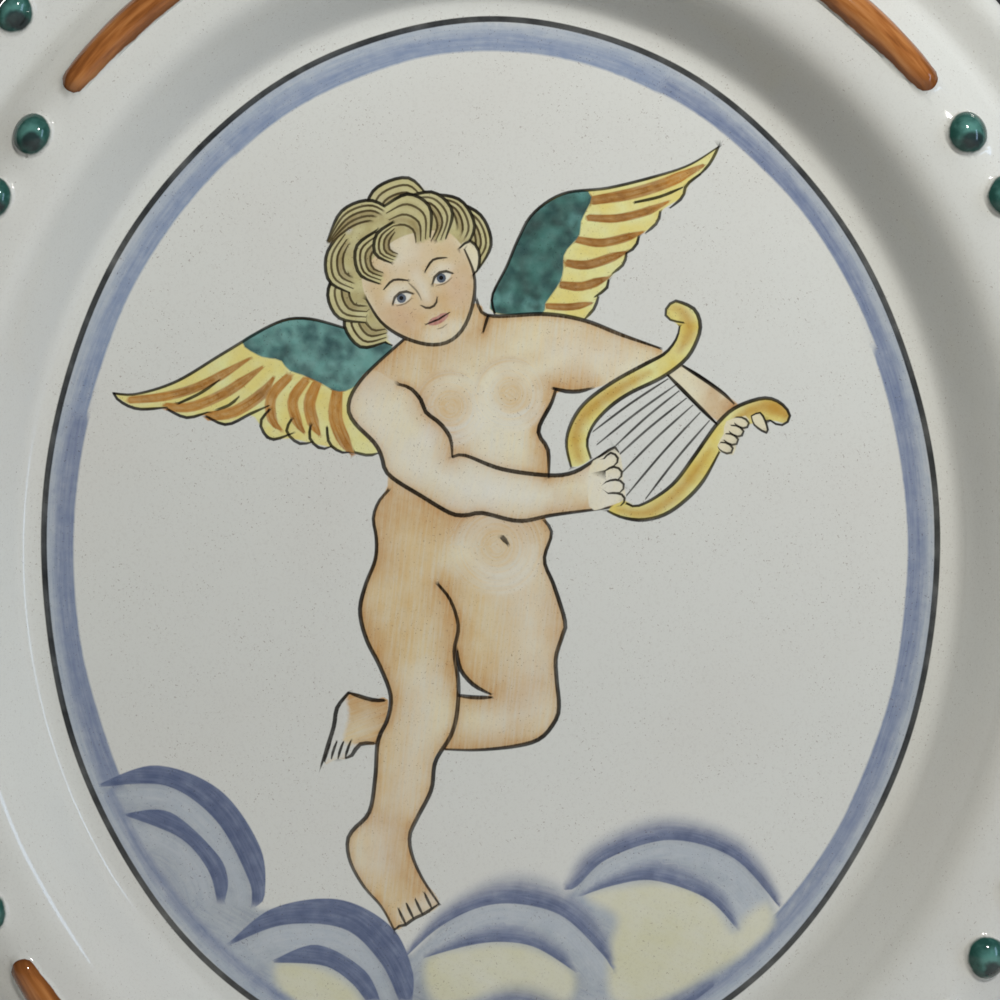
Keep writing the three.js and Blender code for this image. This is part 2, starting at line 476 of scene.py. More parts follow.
# Clouds along the foot of the picture, each a crescent given by its upper and lower edge and how far
# it fades out above.
cloudSwept = [
    ([(-60, -137), (-50, -137), (-38, -139), (-24, -147), (-15, -154)],
     [(-57, -139), (-48, -141.5), (-38, -145), (-28, -150), (-21, -153)], 0),
    ([(30, -150), (39, -143), (50, -136), (61, -131), (69, -127)],
     [(36, -149), (45, -144.5), (54, -140), (61, -135.5), (67, -131)], 2),
    ([(-21, -150), (-8, -138), (7, -131), (22, -136), (34, -150)],
     [(-12, -150), (-2, -142), (8, -138), (20, -143), (29, -152)], 3),
    ([(-117, -70), (-100, -64.6), (-81, -72), (-69, -89), (-67.5, -103), (-69.7, -106.7)],
     [(-116.6, -71), (-97, -70.8), (-82, -81.4), (-72.4, -99), (-71.6, -106.4)], 0),
    ([(-109.5, -79), (-96, -78.6), (-82, -91), (-78.6, -99), (-79.6, -105.2)],
     [(-109, -79.8), (-93, -86.4), (-84.6, -96), (-82, -105)], 0),
    ([(-78, -117.5), (-65, -107.4), (-45.4, -104.8), (-29.6, -113), (-23.3, -126), (-23.3, -135)],
     [(-77.4, -118.2), (-62, -112.5), (-44, -113.6), (-33, -123.5), (-27.4, -135)], 0),
    ([(-65, -123), (-52, -118.4), (-38, -125.7), (-32.8, -135)],
     [(-64.4, -123.8), (-50, -124.7), (-42, -129.5), (-37.4, -135)], 0),
    ([(-27, -122.7), (-13, -107.6), (7.3, -98), (25, -104), (35.4, -117), (37.4, -126)],
     [(-26.6, -123.4), (-14, -112.4), (1.7, -106.2), (20, -109), (33, -120.5), (37, -126.4)], 3.5),
    ([(-19.7, -121.5), (-2.4, -113), (7.3, -112), (21.7, -119), (25.5, -125.7)],
     [(-19.2, -122.2), (-6, -118.6), (4.2, -117.6), (14, -119.4), (25, -126.2)], 1.5),
    ([(21.6, -100), (29.8, -90), (51.5, -82.4), (74, -88), (86, -102), (87.4, -106.8)],
     [(22.6, -102), (26, -101), (35.4, -92.6), (54, -87), (73, -92.4), (86.8, -107.2)], 4.5),
    ([(27, -103), (44.3, -95), (54, -94.8), (70, -103.4), (74.6, -113)],
     [(27.4, -103.8), (38, -100.4), (49.5, -99.2), (65, -104.6), (74, -113.6)], 3),
]
cloudBank = [(-118, -73), (-100, -67), (-84, -74), (-73, -92), (-70, -108), (-58, -108), (-42, -107),
             (-30, -115), (-24, -122), (-12, -110), (7, -102), (22, -106), (30, -95), (52, -85), (74, -90),
             (84, -103), (86, -112)]
cloudBellies = [
    [(29, -103.6), (44.8, -100.2), (56.7, -100.6), (66.7, -106), (73, -114.6), (77, -109.6), (83, -106),
     (85, -112), (78, -120), (66, -127), (52, -135), (37, -135), (36, -120), (38, -110)],
    [(-19, -122.8), (-6, -119.2), (4, -118.2), (14, -120), (25, -127), (22, -136), (2, -134), (-16, -136)],
    [(-64, -124.2), (-52, -125), (-42, -130.5), (-38, -138), (-50, -140), (-62, -133)],
    [(-10, -150), (4, -143), (18, -146), (28, -154), (0, -156)],
]


def drawClouds():
    bottom = [(p[0], p[1]) for p in ovalLine(6, -38, -153, 5.0)]
    wash(cloudBank + bottom, "cloudWash", 0.92, 1.6, curved=False, second="cloudPale", patch=18, seed=11,
         mask="clouds", brushed=0.35, sweep=-28)
    for upper, lower, fade in cloudSwept:
        low = smoothLine(lower, 2.0)
        for down, width, tone, alpha in ((-7, 8, "cloudPale", 0.45), (-3, 5.5, "cloudPale", 0.8)):
            stroke(offsetLine(low, down, False), width, tone, alpha, soft=3, clip="clouds",
                   taper=(0.3, 0.3), brushed=0.35)
    for belly in cloudBellies:
        wash(belly, "cloudYellow", 0.95, 3.4, second="cloudCream", patch=9, seed=5, clip="clouds",
             brushed=0.2, sweep=-24)
    for swept in cloudSwept:
        crescent(*swept)


# Wings: outline, feather stripes with their width, the round covert next to the shoulder, ink lines.
spotCount = 34                                    # dabs of the brush in each covert
leftWing = {
    "outline": [(-112.9, 47), (-106, 46.8), (-94, 50.6), (-80, 59), (-65, 67.7), (-56, 69.5), (-45, 67),
                (-29.3, 61.4), (-38, 51), (-42, 44), (-40, 38), (-34, 31), (-33.7, 29), (-37, 28.4),
                (-41, 29.3), (-46, 30), (-48.5, 31), (-53.5, 32), (-59.5, 33.4), (-65.8, 33.4), (-68.7, 37),
                (-72, 40.6), (-80, 37.8), (-85, 40.4), (-91, 39.9), (-97, 42.6), (-105.5, 42.4)],
    "covert": [(-74.4, 62.6), (-65, 67.5), (-56, 69.3), (-45, 67), (-29.5, 61.4), (-34, 56), (-41, 48.8),
               (-46, 47.6), (-51, 50.2), (-56, 52.4), (-60.5, 54), (-63, 57), (-69, 58.2)],
    "stripes": [([(-108, 45), (-96.8, 46.2), (-85.4, 49.9), (-72.2, 57.4)], 2.5),
                ([(-97, 43), (-89.4, 43), (-79, 47.4), (-68.4, 54.8)], 2.8),
                ([(-84.8, 40.1), (-77, 41.4), (-69, 46.4), (-65, 51.6)], 3.1),
                ([(-60.4, 51.9), (-65.6, 46), (-65.3, 39), (-62.7, 36.1)], 2.9),
                ([(-55.2, 51), (-59.2, 45), (-57.8, 38.4), (-55.8, 35.3)], 2.9),
                ([(-52, 49.9), (-54.2, 44), (-52.9, 37.8), (-51.2, 34.7)], 3.3),
                ([(-45.8, 47.6), (-46.4, 40), (-44, 33.2), (-41.2, 28.8)], 3.8)],
    "upperEdge": 8,                               # how many points of the outline are inked
    "inked": [[(-112.9, 47), (-111, 44.6), (-105.5, 42.3), (-96.8, 42.8)],
              [(-96.8, 42.2), (-91, 39.7), (-84.8, 41.3)],
              [(-85.1, 40.1), (-79, 37.6), (-72, 40.8), (-66.4, 43.3)],
              [(-93.4, 44), (-87, 47), (-81.3, 50.9)],
              [(-82, 42), (-78, 43.6), (-75.3, 46)],
              [(-66.1, 42.2), (-68.9, 38), (-65.8, 33.2), (-59.3, 35)],
              [(-59.5, 39.3), (-61, 35.6), (-57.4, 32), (-53.2, 32.4)],
              [(-53.8, 37.3), (-54, 33.4), (-50.8, 30.4), (-47.8, 31)],
              [(-48.9, 36.7), (-48.2, 32), (-44.8, 29.4), (-42.3, 29.3)],
              [(-40.6, 29.3), (-36.6, 28.4), (-33.7, 29)]],
}
rightWing = {
    "outline": [(1.4, 71), (0.7, 76.3), (5, 85), (8.6, 93.5), (13, 101), (22, 106.9), (35.4, 108.6),
                (49.7, 112.1), (60, 115.6), (68.6, 121), (66, 115.6), (60, 110), (57.8, 106), (51.4, 101.8),
                (50, 98), (44.9, 94.2), (43.6, 91), (41, 89), (40, 85.6), (35.8, 81.4), (34.8, 78.2),
                (32.4, 76), (31, 72.4), (28.4, 69.3), (16, 70.8)],
    "covert": [(1.4, 71.2), (0.7, 76.3), (5, 85), (8.6, 93.5), (13, 101), (22, 106.7), (28.2, 108),
               (30.5, 105.4), (27.4, 98.8), (26.8, 94.4), (22.4, 89), (22, 84), (20.8, 80), (16.4, 73.6),
               (15.4, 70.8)],
    "stripes": [([(31, 104.9), (42, 106.8), (53, 110.2), (64, 115.4)], 3.1),
                ([(29.6, 99.7), (38, 99.5), (47, 101.6), (53.5, 104.5)], 2.3),
                ([(25.8, 93.2), (33, 92.1), (40, 93.5), (45.9, 95.4)], 2.4),
                ([(23.2, 86.1), (29.6, 85.6), (40.9, 89.4)], 2.6),
                ([(21.5, 79.6), (27.7, 79.1), (35.4, 81.7)], 2.5),
                ([(17, 73.2), (23.9, 72.9), (30.6, 74.1)], 2.0)],
    "upperEdge": 10,
    "inked": [[(68.6, 121), (66, 116), (63, 112.7)],
              [(63, 112.7), (58.9, 109.4), (57.8, 105.9), (54, 102.6)],
              [(43.5, 104.3), (51, 106), (57.8, 108.8)], [(51.1, 101.6), (50.2, 98.3), (46.8, 95.2)],
              [(44.7, 94.2), (43.7, 91.1), (40.9, 89)], [(40.9, 89), (40.1, 85.8), (36.8, 83)],
              [(35.6, 81), (34.9, 78.4), (31.5, 76)], [(32.5, 76), (31.3, 72.5), (28.4, 69.3)]],
}


def drawWing(wing, name, seed, tones):
    wash(wing["outline"], "yellow", 0.97, 0.5, second="yellowPale", patch=5, seed=seed, mask=name,
         rails=True)
    for line, width in wing["stripes"]:
        stroke(line, width * 1.1, "stripe", 0.94, soft=0.45, taper=(0.8, 0.3), rails=True,
               second="stripeDeep", grain=(9, 0.9), seed=seed, brushed=0.7)
    wash(wing["covert"], tones[0], 0.98, 0.5, second=tones[1], patch=3.4, seed=seed + 3, rails=True,
         mask=name + "Covert")
    spots = random.Random(seed)
    low, high = np.min(wing["covert"], 0), np.max(wing["covert"], 0)
    for i in range(spotCount):
        x, y = spots.uniform(low[0], high[0]), spots.uniform(low[1], high[1])
        turn = spots.uniform(0, 360)
        tone = tones[1 + i % 2]
        dab = arc((x, y), spots.uniform(0.9, 2.4), turn, turn + 230)
        stroke(dab, spots.uniform(1.2, 2.2), tone, 0.6, clip=name + "Covert")
    for line in [wing["outline"][:wing["upperEdge"]]] + wing["inked"]:
        ink(line, 0.95, taper=(0.8, 0.5))


# The child with wings: outlines for the washes, ink lines, and guide lines for the brush marks.
figure = {
    "body": [(-26, 63), (-36, 54), (-41, 47.7), (-42.5, 42.4), (-40.5, 38), (-32.6, 28.4), (-30.6, 20),
             (-33.5, 14.3), (-35, 9.4), (-34.2, 0), (-37.4, -10.7), (-39, -18.3), (-37.1, -26.7),
             (-32, -37), (-29.8, -44), (-30.6, -50.4), (-33.6, -57.3), (-34.4, -68), (-36, -78),
             (-41.3, -84.2), (-42.8, -88), (-41.7, -94.1), (-37.8, -101), (-32.5, -107), (-28.7, -114),
             (-23.3, -111), (-15.2, -106.3), (-20.2, -98.7), (-23.3, -91.8), (-24.1, -86), (-21.8, -80.3),
             (-17.6, -71.9), (-16, -61), (-4, -60), (7.3, -58.9), (15, -56.6), (19.6, -51.2), (20.7, -46.6),
             (19.7, -34), (22.4, -23), (19.6, -12), (16.4, -3), (18.4, 4), (16.6, 10), (17.6, 21.3),
             (17.6, 30), (14.7, 35.8), (18.4, 44), (21, 47.8), (27, 47.6), (37.2, 50.6), (46.8, 55.9),
             (52, 59.6), (43, 63.6), (28.2, 68.9), (16, 70.8), (-0.5, 70.3), (-4, 74), (-20, 70)],
    "arm": [(-36, 54), (-41, 47.7), (-42.5, 42.4), (-40.5, 38), (-32.6, 28.4), (-30.4, 22.6), (-20.3, 16),
            (-11.5, 10.9), (-2, 11), (8.8, 8.7), (18.9, 10.5), (34.8, 12.6), (40.6, 14), (40, 17),
            (39.6, 21), (39.2, 25), (37.2, 30.6), (32.4, 27.7), (25.3, 23.4), (17.6, 22.4), (3.5, 24.3),
            (-2.7, 27.2), (-11.3, 28), (-11.9, 33.6), (-15, 38), (-19.2, 41.3), (-21, 45.4), (-27.3, 49.7)],
    "backFoot": [(-30.6, -45), (-35.6, -44.9), (-42.4, -42.8), (-45.9, -47.4), (-47, -53.5), (-50.3, -64),
                 (-46, -62.6), (-42.5, -62.4), (-39, -58.3), (-33.4, -57.6)],
    "gap": [(-10.3, -29.6), (-8.8, -35.9), (-4.9, -40.5), (0.3, -43.6), (-4.9, -43.9), (-9.4, -43.4),
            (-9.7, -37)],
    "farArm": [(51.8, 59.6), (57.8, 55.2), (69.8, 47.1), (75, 42.6), (70, 38), (61.1, 44.7), (53.5, 52.4)],
    "farHand": [(70.9, 38.6), (77.5, 40.2), (76.6, 36.4), (74, 32.3), (73.2, 28.6), (69.2, 29.4),
                (68.3, 31.8), (70.1, 34.7)],
    "farFinger": [(78.4, 40.2), (81.4, 41), (83.4, 35.2), (79.4, 37.4)],
    "inked": [[(-26, 63), (-36, 54), (-41, 47.7), (-42.5, 42.4), (-40.5, 38), (-34.8, 32.3), (-32.6, 28.4),
               (-30.4, 22.6), (-20.3, 16), (-11.5, 10.9), (-6.6, 10.5), (-2.2, 11.1), (8.8, 8.7),
               (18.9, 10.5), (34.8, 12.6), (41, 13.8)],
              [(-27.3, 49.7), (-23.8, 48.5), (-20.7, 45), (-19.2, 41.3), (-15, 38), (-11.9, 33.6),
               (-11.3, 27.9)],
              [(-11.3, 27.9), (-7.5, 28.4), (3.5, 24.3), (17.6, 22.4), (25.3, 23.4), (32.4, 27.7),
               (37.2, 30.8)],
              [(19.8, 48.5), (18.5, 44.2), (14.5, 35.8), (17.4, 30), (17.6, 21.8)],
              [(19, 48.5), (22.9, 47.6), (26.7, 47.6), (30.5, 48.5)],
              [(-4, 75), (-0.5, 70.3), (16.2, 70.8), (28.2, 68.9), (39.6, 64.5), (51.1, 60.5)],
              [(-0.5, 70.3), (-2, 65.5)],
              [(57.8, 55.2), (63.5, 51.6), (69.8, 47.1), (73.1, 44)],
              [(53.5, 52.4), (61.1, 44.7), (68.1, 37.7)],
              [(-30.4, 18), (-33.5, 14.3), (-35, 9.4), (-34.1, 3.7), (-34.4, -2.9), (-37.4, -10.7),
               (-39, -18.3), (-37.1, -26.7), (-32.9, -35.1), (-29.8, -43.6), (-30.6, -50.4), (-33.6, -57.3),
               (-34.4, -68), (-36.2, -78.6), (-41.3, -84.2), (-42.8, -88), (-41.7, -94.1), (-37.8, -101),
               (-32.5, -107.1), (-28.7, -114)],
              [(-15.6, -10.3), (-11.8, -15.2), (-9.5, -22.9), (-10.7, -30.5), (-9.5, -39.7), (-9.9, -48.9),
               (-11.8, -55.8), (-16.4, -63.5), (-17.6, -71.9), (-21.8, -80.3), (-24.1, -85.7),
               (-23.3, -91.8), (-20.2, -98.7), (-15.2, -106.3)],
              [(16.3, 8.9), (18.5, 5), (16.3, -3), (19.2, -10.7), (22.5, -21.4), (21.9, -25.2), (19.8, -32),
               (20, -38.9), (20.7, -46.6), (19.6, -51.2), (15, -56.6), (7.3, -58.9), (-4.1, -60),
               (-13.4, -59.8)],
              [(-9.9, -30.2), (-8.8, -35.9), (-4.9, -40.5), (0.1, -43.2)],
              [(-9.5, -43.6), (-4.9, -44.2), (0.5, -44.2)],
              [(-31.7, -45.1), (-35.6, -44.9), (-42.4, -42.8)],
              [(-42.4, -42.8), (-45.9, -47.4), (-47, -53.5), (-50.5, -64.2)],
              [(-34.8, -58), (-39, -58.3), (-41.7, -61.9), (-43.2, -62.5)]],
    "toes": [(-27.9, -113), (-25.2, -112.4), (-22.9, -110.6), (-20.2, -109.4), (-17.4, -107.6),
             (-15.4, -106.2)],
    "backToes": [(-49.6, -63.4), (-47.6, -62.6), (-45.6, -62.6), (-43.4, -62.4)],
    "sole": [(-43.5, -43.4), (-42.3, -49.9), (-44, -57.4), (-40, -58.6), (-41.5, -61.8), (-47.5, -62.9),
             (-51, -64.8), (-47.5, -53.9), (-46, -46.9)],
    "navel": [(3.6, 3.9), (4.5, 2.9), (5.3, 1.9)],
    "toeLight": [(-25.6, -109.4), (-16.8, -104.6)],
    "nearHand": [(30, 25), (34, 28.4), (37.4, 31), (39.2, 28), (39.8, 24), (40, 20), (40.6, 15.4),
                 (36, 13.4), (30, 12.6)],
    "farArmInked": (7, 8),                        # which of the ink lines are drawn again with the lyre
    "rounds": [((-12, 43), 9.5), ((6, 47), 9.5), ((2, 1), 12)],
    "warms": [([(-24, 2), (-28, -30)], 16), ([(6, -14), (8, -44)], 20), ([(-24, -46), (-28, -80)], 11),
              ([(-32, -88), (-22, -106)], 11)],
    # line and width of the pale and the deep brush marks
    "lights": [([(-20, -40), (-22, -56), (-26, -74)], 6), ([(-33, -86), (-34, -94)], 6),
               ([(8, -8), (12, -22), (12, -36)], 9), ([(14, -48), (2, -51)], 6),
               ([(-36, 46), (-32, 36)], 7), ([(-24, 25), (-6, 19), (10, 16)], 6), ([(22, 60), (36, 58)], 7),
               ([(30, 21), (36, 24)], 5), ([(-2, 36), (0, 30)], 10)],
    "darks": [([(-30, 16), (-20, 13), (-6, 7), (12, 6)], 6), ([(-14, -12), (-12, -24), (-12, -38)], 5),
              ([(-33, 10), (-32, -4)], 5), ([(-2, -40), (8, -44), (14, -40)], 6),
              ([(-38, -20), (-32, -36), (-31, -46)], 4), ([(-30, -92), (-20, -103)], 5),
              ([(-14, 60), (-4, 66)], 8), ([(-20, 44), (-13, 36), (-12, 28)], 4),
              ([(17, 40), (16, 30), (16, 24)], 4), ([(18, 50), (28, 50)], 4), ([(-36, -80), (-26, -84)], 4),
              ([(18, -16), (20, -26)], 4), ([(-10, -58), (8, -57)], 4), ([(-36, 50), (-28, 58)], 5),
              ([(-34, -50), (-44, -46)], 5), ([(30, 27), (36, 29)], 3), ([(20, 12), (34, 14)], 3)],
}


def fleshMarks(clip, strong):
    # deep tones along the outlines, then darks and lights
    for line in figure["inked"]:
        stroke(line, 6.5, "fleshWarm", 0.5 * strong, soft=6, clip=clip)
        stroke(line, 2.6, "fleshDeep", 0.6 * strong, soft=2.4, clip=clip)
    for line, width in figure["darks"]:
        stroke(line, width * 1.7, "fleshDeep", 0.45 * strong, clip=clip)
    for line, width in figure["lights"]:
        stroke(line, width * 1.5, "light", 0.5, clip=clip)


def fleshRounds():
    # curved strokes round the chest and belly
    for middle, radius in figure["rounds"]:
        wash(arc(middle, radius, 0, 330, 12), "light", 0.4, radius * 0.9, clip="flesh", brushed=0.7,
             around=middle)
        stroke(arc(middle, radius * 0.25, 0, 300, 7), radius * 0.5, "fleshWarm", 0.6, clip="flesh")
        for part, start, end in ((0.66, -150, -20), (0.84, -130, 10), (1.0, -110, -10)):
            low = (middle[0] + 0.8, middle[1] - radius * (part - 0.5) * 0.3)
            stroke(arc(low, radius * part, start, end, 9), 1.2, "light", 0.55, clip="flesh",
                   taper=(0.2, 0.2))
        stroke(arc(middle, radius * 1.08, 60, 170, 9), 1.5, "fleshDeep", 0.3, clip="flesh",
               taper=(0.2, 0.2))


def drawFigure():
    for name, sweep in (("body", 84), ("backFoot", 20)):
        wash(figure[name], "flesh", 1.0, 0.5, second="fleshWarm", patch=9, seed=31, mask="flesh",
             rails=True, brushed=0.5, sweep=sweep)
    for line, width in figure["warms"]:
        stroke(line, width, "fleshWarm", 0.75, clip="flesh")
    fleshMarks("flesh", 1.0)
    fleshRounds()
    wash(figure["arm"], "flesh", 1.0, 0.5, second="light", patch=9, seed=33, mask="arm", rails=True,
         brushed=0.4, sweep=75)
    fleshMarks("arm", 0.8)
    wash(figure["sole"], "bare", 0.95, 0.8)
    stroke(figure["toeLight"], 4, "light", 0.6, clip="flesh")
    wash(figure["gap"], "bare", 1.0, 0.4, rails=True)
    ink(figure["navel"], 1.5, taper=(1, 0.6))
    for line in figure["inked"]:
        ink(line, 1.3, taper=(0.7, 0.5))
    for x, y in figure["toes"][1:5]:
        ink([(x - 2.2, y + 4.6), (x - 1.2, y + 2.4), (x, y)], 0.85)
    ink([(-28.7, -114)] + figure["toes"], 1.0)
    for x, y in figure["backToes"]:
        ink([(x + 1.6, y + 5), (x + 0.6, y + 2.4), (x, y)], 0.85)


# The lyre: two horns, a bar of strings and the hands on it.
nearHorn = [(24.3, 25), (22.9, 32.2), (24.8, 38.9), (29.1, 44.7), (37.2, 50.6), (46.8, 55.9), (52.5, 59),
            (55.9, 63.3), (57, 67), (54, 69.1), (52.5, 71.6), (55, 74.6), (58.3, 73.9), (61.6, 71.9),
            (63.1, 67.6), (62.1, 62.9), (58.7, 57.2), (51.6, 51.8), (42, 47.1), (35.8, 42.8), (31, 37.5),
            (29.1, 32.2), (30.3, 27.4)]
farHorn = [(35.3, 11.7), (39.6, 9.8), (45.8, 9), (52.5, 10.7), (58.7, 15), (64, 20.8), (69, 29), (72, 34),
           (77, 37.4), (84.1, 38.9), (88.9, 38), (89.9, 40.8), (87, 44.2), (82.7, 45.6), (76.9, 44.2),
           (72.2, 41.8), (65.4, 34.1), (55.4, 20.3), (49.2, 15.5), (43.9, 13.1), (40, 15)]
lyre = {
    "horns": (nearHorn, farHorn),
    "shade": [([(27, 27), (25.6, 33), (28, 40), (36, 46.6), (48, 53.4)], 3.2),
              ([(57, 60), (60, 66), (58, 71.4), (55, 72.6)], 3.0),
              ([(39, 12), (46, 11), (53, 14.4), (60, 21.4), (66, 30)], 3.0),
              ([(74, 39.6), (82, 43), (88, 41)], 3.4),
              ([(83, 43.4), (88.4, 41.6), (88.4, 39.2)], 4.4)],
    "inked": [nearHorn[:8] + [(56.9, 67.1)],
              nearHorn[:10:-1] + [(52.5, 71.4), (54, 69.1), (58, 68.2)],
              farHorn[:6] + [(68.8, 29.4)],
              [(41, 14), (43.9, 13.1), (49.2, 15.5), (55.4, 20.3), (61.1, 27.9), (65.4, 34.1), (68.3, 38),
               (72.2, 41.8), (76.9, 44.2), (82.7, 45.6), (87, 44.2), (89.9, 40.8), (88.9, 38), (86.5, 37.5),
               (84.1, 38.9)],
              [(79.4, 37.6), (82, 38.2), (84.1, 38.9)]],
    "strings": [((31, 35.6), (53.5, 51.4)), ((32.2, 31.7), (56.4, 50)), ((37.7, 31.3), (56.8, 47.8)),
                ((37, 27), (59, 45.6)), ((39.1, 22.7), (60.9, 43.5)), ((41, 16.4), (63.1, 41.3)),
                ((46.8, 15.5), (65.9, 38.9))],
    "nearFingers": [((34.2, 27.4), (37.6, 28.6)), ((34.6, 23.8), (38.8, 24.4)),
                    ((34.8, 20.4), (39.4, 20.6)), ((35.4, 17), (39.6, 16.6))],
    "farFingers": [(70.8, 30.6), (72.4, 33.2), (74, 35.7), (75.6, 38.2)],
}


def drawLyre():
    wash(figure["farArm"], "flesh", 1.0, 0.5, second="fleshDeep", patch=6, seed=8, rails=True)
    for i in figure["farArmInked"]:
        ink(figure["inked"][i], 1.15)
    for start, end in lyre["strings"]:
        middle = ((start[0] + end[0]) / 2 - 0.3, (start[1] + end[1]) / 2 + 0.3)
        ink([start, middle, end], 0.7, alpha=0.92)
    for horn in lyre["horns"]:
        wash(horn, "lyre", 1.0, 0.5, second="yellowPale", patch=6, seed=17, rails=True, mask="lyre")
    for line, width in lyre["shade"]:
        stroke(line, width, "lyreDeep", 0.75, soft=2.2, clip="lyre", taper=(0.5, 0.3))
    for line in lyre["inked"]:
        ink(line, 1.2)
    wash(figure["farHand"], "flesh", 1.0, 0.4, rails=True)
    for x, y in lyre["farFingers"]:
        ink([(x - 1.6, y + 1.7), (x + 0.6, y + 1.4), (x + 2.1, y - 0.2), (x + 1.3, y - 1.6),
             (x - 0.6, y - 1.4), (x - 2.2, y - 0.2)], 0.7)
    wash(figure["farFinger"], "flesh", 1.0, 0.4, rails=True)
    ink(figure["farFinger"] + figure["farFinger"][:1], 0.7)


def drawHand():
    wash(figure["nearHand"], "flesh", 1.0, 0.4, second="light", patch=5, seed=3, rails=True)
    for start, end in lyre["nearFingers"]:
        tip = (end[0] + 0.9, end[1] - 1.7)
        knuckle = ((start[0] + end[0]) / 2, end[1] + 0.5)
        ink([start, knuckle, end, tip, (end[0] - 0.4, end[1] - 3.3)], 0.75)
    ink([(32.4, 27.7), (37.2, 30.8), (38.6, 29.4)], 0.95)


# The head in its own upright frame, tilted on the neck. The face is a plain calm one.
head = {
    "place": (-21, 80), "tilt": 27, "faceWide": 16.5, "faceHigh": 19.5,
    "eyeSide": 6.7, "eyeHigh": -1.6, "browHigh": 3.0, "noseLow": -7.6, "mouthLow": -12.0,
    # soft tones on both halves of the face and down its middle: line, width, tone, strength
    "sideTones": [([(9.5, -5), (8.5, -8)], 8, "blush", 0.5),
                  ([(13.5, 6), (14.2, -4), (9, -14)], 4.5, "fleshDeep", 0.35),
                  ([(3, 5.6), (8, 6.8), (12, 4.2)], 4, "fleshWarm", 0.6),
                  ([(4.4, 0.9), (8, 1.4), (10, 0.3)], 2.0, "light", 0.55)],
    "middleTones": [([(0, 3), (0, -5)], 3, "light", 0.6), ([(-2, 9), (2, 9)], 8, "light", 0.5),
                    ([(-3, -16), (3, -16)], 4, "light", 0.5),
                    ([(-1.4, -6), (0, -9.4), (1.4, -6)], 2.6, "fleshDeep", 0.3)],
    "crown": [(-17, -10), (-21, -7), (-22, 3), (-21, 13), (-16, 21), (-6, 26), (4, 27), (12, 23.5),
              (19, 15.5), (21, 5), (17, -3), (0, 4)],
    # locks of hair, each between an outer and an inner line, with the number of lines drawn in it
    "backLocks": [([(-21, 5), (-26, -1), (-24.5, -9), (-17, -11)],
                   [(-17, 0), (-19.5, -2), (-19, -6), (-15.5, -7.5)], 4),
                  ([(-19, 16), (-26, 10), (-26.5, 2), (-20, -3)],
                   [(-17, 10.5), (-20, 8), (-20.5, 3.5), (-17, 1)], 4),
                  ([(-13, 25), (-21, 20.5), (-24, 13), (-20, 7)],
                   [(-14, 20), (-17, 17.5), (-18.5, 13), (-16, 9.5)], 4),
                  ([(20, 18), (25.5, 10), (24.5, 1), (18, -4)],
                   [(21, 12), (21.5, 7), (20, 2.5), (16.5, 1)], 4),
                  ([(14, 23), (22, 17), (22.5, 8), (16.5, 3)], [(16, 19), (18.5, 14), (17, 9), (13, 7)], 4),
                  ([(-6, 26), (1, 31.4), (11, 30), (14, 22.5)],
                   [(-1, 22), (3, 24.8), (8, 24), (9.5, 20)], 4),
                  ([(3, 22), (-2, 29), (-11, 30), (-19, 24)],
                   [(-2, 19), (-4, 23), (-10, 24.5), (-18.5, 23)], 5)],
    "frontLocks": [([(8, 25), (16, 22.5), (18.5, 15), (13, 8.5)],
                    [(10, 22), (13, 18), (12.5, 13), (9, 10)], 4),
                   ([(1, 25.5), (9, 25.5), (13, 19), (9, 11)],
                    [(0, 19), (3.5, 18), (5.5, 15), (4.5, 11.5)], 4),
                   ([(-4, 20), (-12, 18.5), (-15, 11), (-11, 5.5)],
                    [(-6, 16), (-9.5, 14), (-10.5, 10.5), (-8.5, 8)], 4),
                   ([(1, 20), (-5, 19), (-8, 14), (-5, 9.5)],
                    [(0, 17), (-2.5, 15.5), (-3.5, 13), (-2, 11)], 4)],
}


def onHead(points):
    turn = math.radians(head["tilt"])
    c, s = math.cos(turn), math.sin(turn)
    return [(head["place"][0] + x * c - y * s, head["place"][1] + x * s + y * c) for x, y in points]


def drawLocks(locks, seed):
    # each lock is a curved patch with lines swept through it from edge to edge
    for i, (outer, inner, count) in enumerate(locks):
        far, near = np.array(onHead(outer)), np.array(onHead(inner))
        wash(np.vstack([far, near[::-1]]), "hair", 1.0, 0.4, second="hairLight", patch=3.2, seed=seed + i,
             mask="hair")
        for part in np.arange(0.5, count - 1) / (count - 1):
            tone = "hairDeep" if part > 0.5 else "hairLight"
            stroke(far + (near - far) * part, 1.4, tone, 0.6, clip="hair", taper=(0.5, 0.5))
        for part in np.linspace(0, 1, count):
            edge = part == 0
            ink(far + (near - far) * part, 1.05 if edge else 0.72, colour="ink" if edge else "hairInk",
                taper=(0.8, 0.5) if edge else (0.5, 0.5))


